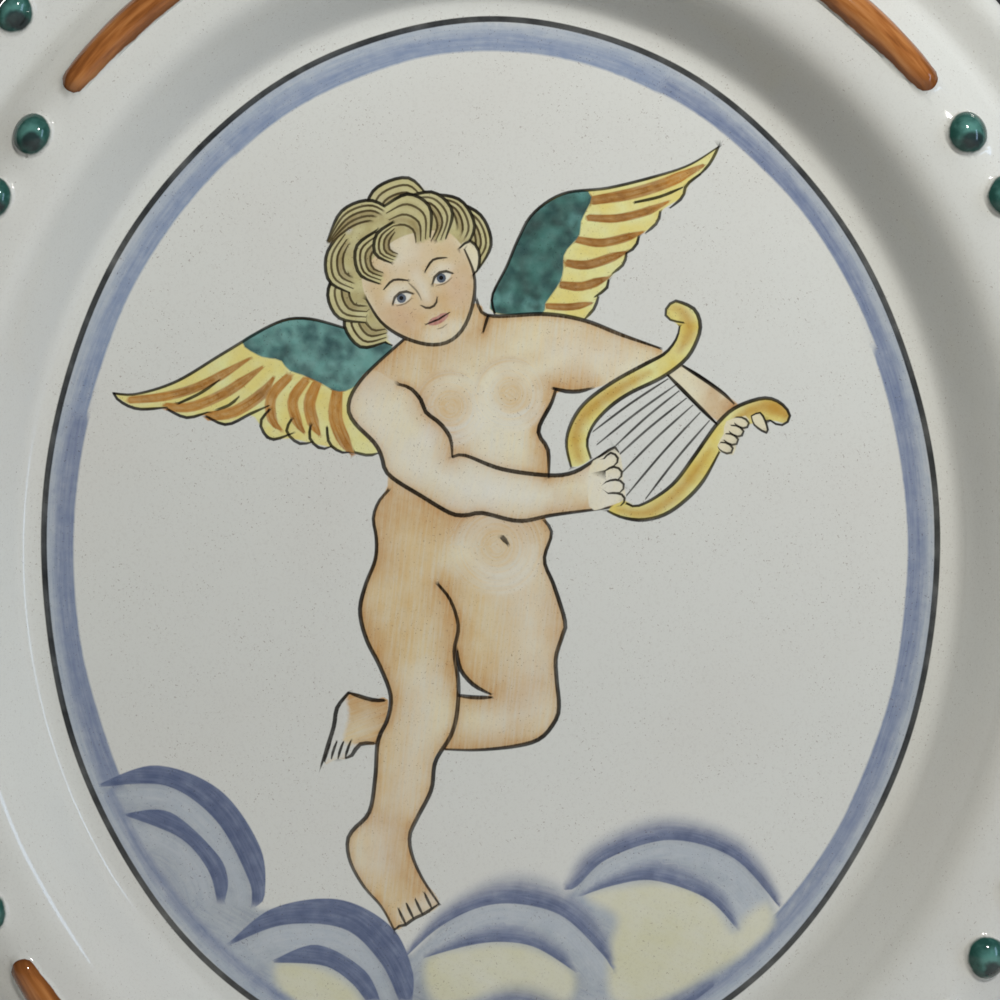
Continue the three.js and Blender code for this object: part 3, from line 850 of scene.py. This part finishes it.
def drawHead():
    h = head
    wide, high = h["faceWide"], h["faceHigh"]
    wash(onHead(h["crown"]), "hair", 1.0, 0.6, second="hairLight", patch=3, seed=4, mask="hair")
    drawLocks(h["backLocks"], 40)
    wash(onHead(arc((0, 6), 18, 0, 330, 12)), "hair", 1.0, 1.0, second="hairLight", patch=3, seed=2,
         mask="hair")
    face = [(-wide, 3), (-wide * 0.95, -5), (-wide * 0.72, -12), (-wide * 0.36, -17.6), (0, -high),
            (wide * 0.36, -17.6), (wide * 0.72, -12), (wide * 0.95, -5), (wide, 3), (wide * 0.8, 11),
            (0, 15), (-wide * 0.8, 11)]
    ear = [(wide * 0.93, 4), (wide * 1.16, 4.6), (wide * 1.22, 0.6), (wide * 1.08, -3.8), (wide * 0.92, -5)]
    wash(onHead(ear), "flesh", 1.0, 0.4, rails=True)
    wash(onHead(face), "flesh", 1.0, 0.4, second="fleshWarm", patch=7, seed=12, rails=True, mask="face")
    for side in (-1, 1):
        for line, width, tone, alpha in h["sideTones"]:
            stroke(onHead([(side * x, y) for x, y in line]), width, tone, alpha, clip="face")
    for line, width, tone, alpha in h["middleTones"]:
        stroke(onHead(line), width, tone, alpha, clip="face")
    for side in (-1, 1):
        x, y = side * h["eyeSide"], h["eyeHigh"]
        white = [(x - 3.1, y), (x, y + 1.7), (x + 3.1, y), (x, y - 1.5)]
        wash(onHead(white), "light", 0.95, 0.3, rails=True, step=1.0)
        wash(onHead(arc((x - 0.3, y + 0.1), 1.45, 0, 315, 8)), "eye", 1.0, 0.3, rails=True, step=0.8)
        wash(onHead(arc((x - 0.3, y + 0.2), 0.7, 0, 300, 6)), "ink", 1.0, 0.25, rails=True, step=0.6)
        lid = [(x - 3.4, y - 0.2), (x - 1.4, y + 1.6), (x + 1.4, y + 1.6), (x + 3.4, y - 0.2)]
        ink(onHead(lid), 0.85, taper=(0.7, 0.7))
        ink(onHead([(x - 2.4, y - 1.3), (x, y - 1.8), (x + 2.4, y - 1.3)]), 0.45, colour="hairInk",
            alpha=0.7)
        y = h["browHigh"]
        ink(onHead([(x - side * 3.6, y - 0.4), (x, y + 1.5), (x + side * 3.8, y + 0.3)]), 0.75)
    low = h["noseLow"]
    nose = [(-2.6, low + 1.4), (-1.6, low + 0.1), (0, low - 0.4), (1.6, low + 0.1), (2.6, low + 1.4)]
    ink(onHead(nose), 0.75)
    ink(onHead([(-2.9, 1.4), (-1.9, -1.6), (-1.8, -4)]), 0.55, alpha=0.7)
    low = h["mouthLow"]
    lips = [(-3.6, low + 0.1), (-1.4, low + 1.1), (0, low + 0.8), (1.4, low + 1.1), (3.6, low + 0.1),
            (1.6, low - 1.3), (-1.6, low - 1.3)]
    wash(onHead(lips), "lips", 0.95, 0.35, rails=True, step=0.9)
    ink(onHead([(-3.9, low + 0.2), (-1.4, low), (0, low - 0.15), (1.4, low), (3.9, low + 0.2)]), 0.6)
    ink(onHead([(-1.5, low - 2.6), (0, low - 2.9), (1.5, low - 2.6)]), 0.4, colour="hairInk", alpha=0.6)
    ink(onHead(face[:9]), 1.15)
    ink(onHead(ear), 0.95)
    drawLocks(h["frontLocks"], 60)


# Turning the layers into a mesh whose edges follow every brush line, and colouring its points.
panelMesh = {
    "fine": 0.95, "middle": 1.35, "open": 5.0, "bandCell": 2.0, "railGap": 0.45,
    "fineMasks": ("flesh", "hair", "face", "lyre", "leftWing", "rightWing"),
}


def toLine(points, line):
    # distance to a line, how far along it that is, and the length of the line
    best = np.full(len(points), 1e9)
    along = np.zeros(len(points))
    run = runAlong(line)
    for i in range(len(line) - 1):
        a, d = line[i], line[i + 1] - line[i]
        size = max(d @ d, 1e-9)
        t = np.clip(((points - a) @ d) / size, 0, 1)
        far = np.hypot(points[:, 0] - a[0] - t * d[0], points[:, 1] - a[1] - t * d[1])
        near = far < best
        best[near] = far[near]
        along[near] = (run[i] + t * math.sqrt(size))[near]
    return best, along, run[-1]


def inside(points, outline):
    within = np.zeros(len(points), bool)
    x, y = points[:, 0], points[:, 1]
    last = outline[-1]
    for corner in outline:
        if corner[1] != last[1]:
            crosses = (corner[1] > y) != (last[1] > y)
            cut = (last[0] - corner[0]) * (y - corner[1]) / (last[1] - corner[1]) + corner[0]
            within ^= crosses & (x < cut)
        last = corner
    return within


def insideBy(points, outline):
    # distance inside a closed outline, less than nothing outside it
    ring = np.vstack([outline, outline[:1]])
    far, _, _ = toLine(points, ring)
    return np.where(inside(points, outline), far, -far)


def strokeTaper(layer, along, length):
    start, end = layer["taper"]
    reach = max(0.25 * length, 1e-6)
    opening = start + (1 - start) * along / reach
    closing = end + (1 - end) * (length - along) / reach
    return np.minimum(1, np.minimum(opening, closing))


def layerOutline(layer):
    if layer["kind"] == "crescent":
        return np.vstack([layer["line"], layer["lower"][::-1]])
    return layer["line"]


def coverage(layer, q):
    # how much of the layer is on each point, a -1 to 1 streak value for its second colour, and the
    # point's place along and across the brush
    x, y = q[:, 0], q[:, 1]
    streak = np.zeros(len(q))
    if layer["kind"] == "wash":
        amount = np.clip(0.5 + insideBy(q, layer["line"]) / layer["soft"], 0, 1)
        if "patch" in layer:
            cell, seed = layer["patch"], layer["seed"]
            streak = mottle(x, y, cell, seed) + 0.5 * mottle(x, y, cell * 0.4, seed + 1)
        turn = math.radians(layer.get("sweep", 90))
        along = x * math.cos(turn) + y * math.sin(turn)
        across = y * math.cos(turn) - x * math.sin(turn)
        if "around" in layer:
            dx, dy = x - layer["around"][0], y - layer["around"][1]
            across = np.hypot(dx, dy)
            along = np.arctan2(dy, dx) * 6
    elif layer["kind"] == "stroke":
        across, along, length = toLine(q, layer["line"])
        half = layer["half"] * strokeTaper(layer, along, length)
        amount = np.clip(0.5 + (half - across) / layer["soft"], 0, 1)
        if layer.get("loaded"):
            amount = amount * (0.94 + 0.06 * mottle(along, along * 0, 7, len(layer["line"])))
        if "grain" in layer:
            coarse, thin = layer["grain"]
            streak = mottle(along, across, coarse, layer["seed"])
            streak = streak + 0.7 * mottle(along * 0.15, x + y, thin, 9)
    elif layer["kind"] == "crescent":
        outline = layerOutline(layer)
        upper, along, length = toLine(q, layer["line"])
        across, _, _ = toLine(q, layer["lower"])
        deep = upper / np.maximum(upper + across, 1e-6)
        amount = np.clip(0.5 + insideBy(q, outline) / 0.4, 0, 1) * smoothStep(-0.02, layer["ramp"], deep)
        streak = 1.5 * deep - 0.8 + 0.5 * mottle(along, upper, 3.5, 6)
    else:
        across = lineHalfWidth - np.hypot(x, y / ovalRatio)
        _, along, length = toLine(q, layer["line"])
        edge = bandEdge(layer, along)
        ends = np.minimum(along, length - along)
        amount = smoothStep(edge + 0.35, edge - 0.35, across) * smoothStep(0.3, 0.9, across)
        amount = amount * smoothStep(-0.5, 2.5, ends)
        if layer["outer"]:
            amount = amount * smoothStep(layer["outer"] - 2, layer["outer"] + 1.5, across)
        streak = mottle(along * 0.15, across, 2.2, 4)
    return np.clip(amount, 0, 1), streak, along, across


def layerPoints(layer, points):
    # the points that a layer can reach
    rows = layerOutline(layer)
    room = layer.get("half", 0) + layer.get("soft", 1) + (6 if layer["kind"] == "band" else 1)
    low, high = rows.min(0) - room, rows.max(0) + room
    return np.flatnonzero(np.all((points >= low) & (points <= high), axis=1))


def paintPoints(points):
    # tint and cover of every point, and its place along and across the brush with the streaks' strength
    tint = np.ones((len(points), 3))
    cover = np.zeros(len(points))
    brush = np.zeros((len(points), 3))
    masks = {}
    for layer in layers:
        near = layerPoints(layer, points)
        if not len(near):
            continue
        amount, streak, along, across = coverage(layer, points[near])
        if layer.get("mask"):
            mask = masks.setdefault(layer["mask"], np.zeros(len(points)))
            mask[near] = np.maximum(mask[near], amount)
        if layer.get("clip"):
            amount = amount * masks[layer["clip"]][near]
        if layer.get("brushed"):
            wet = amount > 0.3
            brush[near[wet]] = np.c_[along, across, np.full(len(near), layer["brushed"])][wet]
        amount = amount * layer["alpha"]
        colour = np.tile(pigment(layer["colour"]), (len(near), 1))
        if layer.get("second"):
            colour += (pigment(layer["second"]) - colour) * np.clip(0.35 + 0.5 * streak, 0, 1)[:, None]
        tint[near] += (colour - tint[near]) * amount[:, None]
        cover[near] += (1 - cover[near]) * amount
    return np.c_[tint, cover], brush


def offsetLine(line, by, closed):
    ahead = np.roll(line, -1, 0) - np.roll(line, 1, 0)
    if not closed:
        ahead[0], ahead[-1] = line[1] - line[0], line[-1] - line[-2]
    normal = np.c_[-ahead[:, 1], ahead[:, 0]] / np.maximum(np.hypot(*ahead.T), 1e-9)[:, None]
    return line + normal * np.reshape(by, (-1, 1))


def brushRails():
    # the lines that mesh edges have to follow
    for layer in layers:
        line, soft = layer["line"], layer.get("soft", 0)
        if layer["kind"] == "crescent":
            for edge in [layer["lower"]] + ([line] if layer["ramp"] < 0.5 else []):
                for by in (-0.2, 0.2):
                    yield offsetLine(edge, by, False), False
        if not layer.get("rails"):
            continue
        run = runAlong(line)
        if layer["kind"] == "wash":
            for by in (-soft / 2, soft / 2):
                yield offsetLine(line, by, True), True
        elif layer["kind"] == "band":
            angles = np.arctan2(line[:, 1] / ovalRatio, line[:, 0])
            for by in (-0.35, 0.35):
                wide = lineHalfWidth - bandEdge(layer, run) + by
                yield np.c_[wide * np.cos(angles), wide * ovalRatio * np.sin(angles)], False
        else:
            half = layer["half"] * strokeTaper(layer, run, run[-1])
            for by in (-half - soft / 2, -half + soft / 2, half - soft / 2, half + soft / 2):
                yield offsetLine(line, by, False), False


def grid(cell):
    # points on a staggered grid over the panel, each nudged a little
    across = np.arange(-lineHalfWidth, lineHalfWidth, cell)
    upward = np.arange(-lineHalfHeight, lineHalfHeight, cell * 0.866)
    x, y = np.meshgrid(across, upward)
    x = x + (np.arange(len(upward)) % 2)[:, None] * cell / 2
    nudge = np.random.default_rng(5).uniform(-0.16, 0.16, (2,) + x.shape) * cell
    return np.c_[(x + nudge[0]).ravel(), (y + nudge[1]).ravel()]


def fillPoints():
    # close together where there is fine painting, far apart on bare glaze
    def depth(p):
        return lineHalfWidth - np.hypot(p[:, 0], p[:, 1] / ovalRatio)

    def zones(p):
        fine = np.zeros(len(p), bool)
        middle = np.zeros(len(p), bool)
        for layer in layers:
            near = layerPoints(layer, p)
            if not len(near):
                continue
            if layer.get("mask") in panelMesh["fineMasks"]:
                fine[near] |= insideBy(p[near], layer["line"]) > -0.8
            elif layer.get("mask") == "clouds" or layer["kind"] == "crescent":
                middle[near] |= insideBy(p[near], layerOutline(layer)) > -2
        return fine, middle

    picked = []
    for size in ("fine", "middle", "bandCell", "open"):
        p = grid(panelMesh[size])
        p = p[depth(p) > 0.8]
        fine, middle = zones(p)
        band = depth(p) < 11
        use = {"fine": fine, "middle": middle & ~fine, "bandCell": band & ~fine & ~middle,
               "open": ~(fine | middle | band)}[size]
        picked.append(p[use])
    return np.vstack(picked)


def makePanel(body):
    mesh = body.data
    used = {}
    for face in mesh.polygons:
        for key in face.edge_keys:
            used[key] = used.get(key, 0) + 1
    rim = sorted({i for key, n in used.items() if n == 1 for i in key},
                 key=lambda i: math.atan2(mesh.vertices[i].co.z - centreZ, mesh.vertices[i].co.x))
    points = [(mesh.vertices[i].co.x / mm, (mesh.vertices[i].co.z - centreZ) / mm) for i in rim]
    links = [(i, (i + 1) % len(points)) for i in range(len(points))]
    for line, closed in brushRails():
        first = len(points)
        points += [tuple(p) for p in line]
        links += [(first + i, first + i + 1) for i in range(len(line) - 1)]
        if closed:
            links.append((len(points) - 1, first))
    tree = KDTree(len(points))
    for i, p in enumerate(points):
        tree.insert((p[0], p[1], 0), i)
    tree.balance()
    for p in fillPoints():
        if tree.find((p[0], p[1], 0))[2] > panelMesh["railGap"]:
            points.append((p[0], p[1]))
    made = delaunay_2d_cdt([Vector(p) for p in points], links, [], 0, 1e-3, False)
    flat = np.array([v[:] for v in made[0]])
    colours, brush = paintPoints(flat)
    panel = bpy.data.meshes.new("paintedPanel")
    y = -bodyShape["panelFront"] * mm
    panel.from_pydata([(u * mm, y, v * mm + centreZ) for u, v in flat], [], [tuple(f) for f in made[2]])
    none = np.full((len(flat), 3), farOff)
    addFields(panel, colours, brush, none, none)
    print("panel", len(points), "points", len(panel.polygons), "faces", len(layers), "layers")
    obj = bpy.data.objects.new("paintedPanel", panel)
    bpy.context.scene.collection.objects.link(obj)
    return obj


def joinPanel(body, panel):
    bpy.ops.object.select_all(action="DESELECT")
    panel.select_set(True)
    body.select_set(True)
    bpy.context.view_layer.objects.active = body
    bpy.ops.object.join()
    bpy.ops.object.mode_set(mode="EDIT")
    bpy.ops.mesh.select_all(action="SELECT")
    bpy.ops.mesh.remove_doubles(threshold=0.00001)
    bpy.ops.mesh.normals_make_consistent(inside=False)
    bpy.ops.object.mode_set(mode="OBJECT")
    bpy.ops.object.shade_smooth_by_angle(angle=math.radians(50))


class Sock:
    # one socket of a shader, so that sums of sockets add Math nodes
    def __init__(self, tree, link=None):
        self.tree = tree
        self.link = link

    def node(self, kind, settings, inputs, output=0):
        made = self.tree.nodes.new(kind)
        for name, value in settings.items():
            if name == "stops":
                while len(made.color_ramp.elements) < len(value):
                    made.color_ramp.elements.new(0.5)
                for stop, (place, colour) in zip(made.color_ramp.elements, value):
                    stop.position = place
                    stop.color = (*colour, 1)
            else:
                setattr(made, name, value)
        for name, value in inputs.items():
            if isinstance(value, Sock):
                self.tree.links.new(value.link, made.inputs[name])
            elif made.inputs[name].type == "RGBA":
                made.inputs[name].default_value = (*value, 1)
            else:
                made.inputs[name].default_value = value
        return Sock(self.tree, made.outputs[output])

    def out(self, name):
        return Sock(self.tree, self.link.node.outputs[name])

    def maths(self, operation, a, b=0.0):
        return self.node("ShaderNodeMath", {"operation": operation}, {0: a, 1: b})

    def __add__(self, other):
        return self.maths("ADD", self, other)

    def __radd__(self, other):
        return self.maths("ADD", other, self)

    def __sub__(self, other):
        return self.maths("SUBTRACT", self, other)

    def __rsub__(self, other):
        return self.maths("SUBTRACT", other, self)

    def __mul__(self, other):
        return self.maths("MULTIPLY", self, other)

    def ease(self, low, high):
        # 0 below low, 1 above high, smooth between
        return self.node("ShaderNodeMapRange", {"interpolation_type": "SMOOTHSTEP"},
                         {"Value": self, "From Min": low, "From Max": high})

    def blend(self, colour, other, amount, kind="MIX"):
        settings = {"data_type": "RGBA", "blend_type": kind}
        return self.node("ShaderNodeMix", settings, {0: amount, 6: colour, 7: other}, 2)

    def mix(self, other, amount, kind="MIX"):
        return self.blend(self, other, amount, kind)


glazeLook = {
    "white": (0.606, 0.622, 0.598),
    "warm": (0.594, 0.598, 0.570),
    "speck": (0.30, 0.27, 0.25),
    "roughness": 0.055,
    "clay": (0.56, 0.37, 0.25), "clayDeep": (0.44, 0.27, 0.17),
    # the bead dab is dark glaze and also painted shade on the lower side of each bead
    "beadLight": (0.090, 0.235, 0.210), "beadDeep": (0.018, 0.068, 0.058), "beadDabAndShade": (0.014, 0.016, 0.020),
    "spindle": [(0.2, (0.22, 0.076, 0.020)), (0.55, (0.33, 0.122, 0.034)), (0.9, (0.42, 0.180, 0.058))],
    "spindleEdge": (0.12, 0.040, 0.012),
}


def glazeMaterial():
    look = glazeLook
    material = bpy.data.materials.new("paintedGlaze")
    material.use_nodes = True
    tree = material.node_tree
    shader = tree.nodes["Principled BSDF"]
    root = Sock(tree)
    place = root.node("ShaderNodeTexCoord", {}, {}, "Object")

    def noise(scale, detail=2.0, at=place):
        return root.node("ShaderNodeTexNoise", {}, {"Vector": at, "Scale": scale, "Detail": detail}, 0)

    def attribute(name):
        return root.node("ShaderNodeSeparateXYZ", {}, {
            "Vector": root.node("ShaderNodeAttribute", {"attribute_name": name}, {}, "Vector")}, 0)

    # bare glaze, faintly clouded, with fine specks
    fine = noise(1500, 2)
    glaze = root.blend(look["white"], look["warm"], noise(14).ease(0.42, 0.72) * 0.7)
    glaze = glaze.mix(look["speck"], fine.ease(0.48, 0.75) * 0.11)
    glaze = glaze.mix(look["speck"], noise(1900, 0).ease(0.74, 0.84) * noise(90).ease(0.25, 0.65) * 0.65)

    # the picture: thicker and thinner pigment along the brush
    brush = attribute("brush")
    brushPlace = root.node("ShaderNodeCombineXYZ", {}, {"X": brush * 0.07, "Y": brush.out("Y") * 1.2})
    streak = noise(1.0, 3, brushPlace) - 0.5
    thick = 1 + brush.out("Z") * streak * 2.6 + (noise(260, 3) - 0.5) * 0.6
    paint = root.node("ShaderNodeAttribute", {"attribute_name": "paint"}, {}, "Color")
    cover = paint.out("Alpha")
    colour = glaze.mix(root.node("ShaderNodeGamma", {}, {"Color": paint, "Gamma": thick}), 1.0, "MULTIPLY")

    # beads: runny teal, with a dark dab low on each, partly dark glaze and partly painted shade under the
    # dome
    bead = attribute("beadField")
    ragged = noise(260) - 0.5
    onBead = 1 - (bead.out("Z") + ragged * 0.12).ease(0.9, 1.0)
    runny = (bead.out("Z") * 0.75 + noise(420) * 0.7 - 0.3).ease(0.1, 0.75)
    teal = root.blend(look["beadLight"], look["beadDeep"], runny)
    # painted shade: the dab always sits on the lower side of the bead as it hangs
    dabAndShadeSide, dabAndShadeUp = bead - 0.12, bead.out("Y") + 0.42
    dab = dabAndShadeSide * dabAndShadeSide + dabAndShadeUp * dabAndShadeUp * 1.7 + ragged * 0.5
    teal = teal.mix(look["beadDabAndShade"], (1 - dab.ease(0.1, 0.4)) * 0.85)
    colour = colour.mix(teal, onBead)

    # spindles: orange brown, darker on their ends and edges
    rod = attribute("rodField")
    rodPlace = root.node("ShaderNodeCombineXYZ", {},
                         {"X": rod * 1.1, "Y": rod.out("Y") * 1.5, "Z": noise(6) * 4})
    grain = noise(1.5, 3, rodPlace).ease(0.25, 0.75)
    brown = root.node("ShaderNodeValToRGB", {"stops": look["spindle"]}, {"Fac": grain})
    onEnd = (rod * rod).ease(0.55, 1.05) * 0.5
    brown = brown.mix(look["spindleEdge"], (rod.out("Z") + ragged * 0.2).ease(0.72, 1.05) * 0.7 + onEnd)
    colour = colour.mix(brown, 1 - (rod.out("Z") + ragged * 0.1).ease(0.94, 1.0))

    # the foot ring stands on bare clay
    spot = root.node("ShaderNodeSeparateXYZ", {}, {"Vector": place}, 0)
    bare = (spot.out("Y") + noise(160) * 0.0006).ease(-0.0008, -0.0003)
    colour = colour.mix(root.blend(look["clay"], look["clayDeep"], noise(220, 4).ease(0.4, 0.65)), bare)

    wavy = noise(55, 1) + fine * 0.03
    bump = root.node("ShaderNodeBump", {}, {"Strength": 0.5, "Distance": 0.00035, "Height": wavy})
    rough = look["roughness"] + noise(40) * 0.03 + cover * 0.015 + bare * 0.65
    for name, value in (("Base Color", colour), ("Roughness", rough), ("Normal", bump)):
        tree.links.new(value.link, shader.inputs[name])
    shader.inputs["IOR"].default_value = 1.5
    return material


# The floor lies a little below the plaque, and the room gives a faint light from all round.
stage = {"floorGap": 1, "floor": (0.62, 0.61, 0.59, 1), "floorRoughness": 0.7,
         "world": (0.80, 0.82, 0.85, 1), "worldStrength": 0.04}


def addStage():
    floorLow = cadLow.z - stage["floorGap"] * mm
    bpy.ops.object.select_all(action="DESELECT")
    bpy.ops.mesh.primitive_plane_add(size=8, location=(0, 0, floorLow))
    floor = bpy.context.object
    floor.name = "paleFloor"
    paper = bpy.data.materials.new("paleFloor")
    paper.use_nodes = True
    surface = paper.node_tree.nodes["Principled BSDF"]
    surface.inputs["Base Color"].default_value = stage["floor"]
    surface.inputs["Roughness"].default_value = stage["floorRoughness"]
    floor.data.materials.append(paper)


# Studio light: name, place, width and height in metres, watts, colour. Each faces the panel.
studioLights = [
    ("keyAbove", (0.25, -0.715, 0.36), (0.09, 0.09), 6.6, (1.0, 0.965, 0.90)),
    ("windowRight", (1.31, -0.93, -0.09), (0.3, 1.3), 6, (0.50, 0.69, 1.0)),
    ("softBehind", (-0.55, 1.1, 0.40), (1.0, 1.0), 16, (1.0, 0.98, 0.95)),
]


def addLights():
    aim = Vector((0, -bodyShape["panelFront"] * mm, centreZ))
    for name, place, size, watts, colour in studioLights:
        light = bpy.data.lights.new(name, "AREA")
        light.shape = "RECTANGLE"
        light.size, light.size_y = size
        light.energy = watts
        light.color = colour
        obj = bpy.data.objects.new(name, light)
        obj.location = place
        obj.rotation_euler = (aim - Vector(place)).to_track_quat("-Z", "Y").to_euler()
        bpy.context.scene.collection.objects.link(obj)
    world = bpy.data.worlds.new("studio")
    world.use_nodes = True
    sky = world.node_tree.nodes["Background"]
    sky.inputs["Color"].default_value = stage["world"]
    sky.inputs["Strength"].default_value = stage["worldStrength"]
    bpy.context.scene.world = world
    bpy.context.scene.view_settings.view_transform = "Standard"


cameraPlace = {"right": 3, "up": 15, "away": 450, "frameWide": 300, "sensor": 36}


def addCamera():
    c = cameraPlace
    camera = bpy.data.cameras.new("camera")
    camera.sensor_width = c["sensor"]
    camera.lens = c["sensor"] * c["away"] / c["frameWide"]
    camera.clip_start = 0.01
    obj = bpy.data.objects.new("camera", camera)
    obj.location = (c["right"] * mm, -(bodyShape["panelFront"] + c["away"]) * mm, centreZ + c["up"] * mm)
    obj.rotation_euler = (math.pi / 2, 0, 0)
    bpy.context.scene.collection.objects.link(obj)
    bpy.context.scene.camera = obj


body = makeBody()
cutWireHoles(body)
print("body", len(body.data.polygons), "faces")
refineTrim(body)
raiseTrim(body)
driftRim(body)
print("trim", len(body.data.polygons), "faces")
drawBorder()
drawClouds()
drawWing(leftWing, "leftWing", 51, ("teal", "tealDeep", "tealLight"))
drawWing(rightWing, "rightWing", 52, ("tealDark", "tealNight", "teal"))
drawFigure()
drawLyre()
drawHand()
drawHead()
joinPanel(body, makePanel(body))
body.data.materials.append(glazeMaterial())
triangles = sum(len(face.vertices) - 2 for face in body.data.polygons)
print("plaque", len(body.data.vertices), "points", triangles, "triangles")
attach(body, "root")
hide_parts("plaque")
addStage()
addLights()
addCamera()
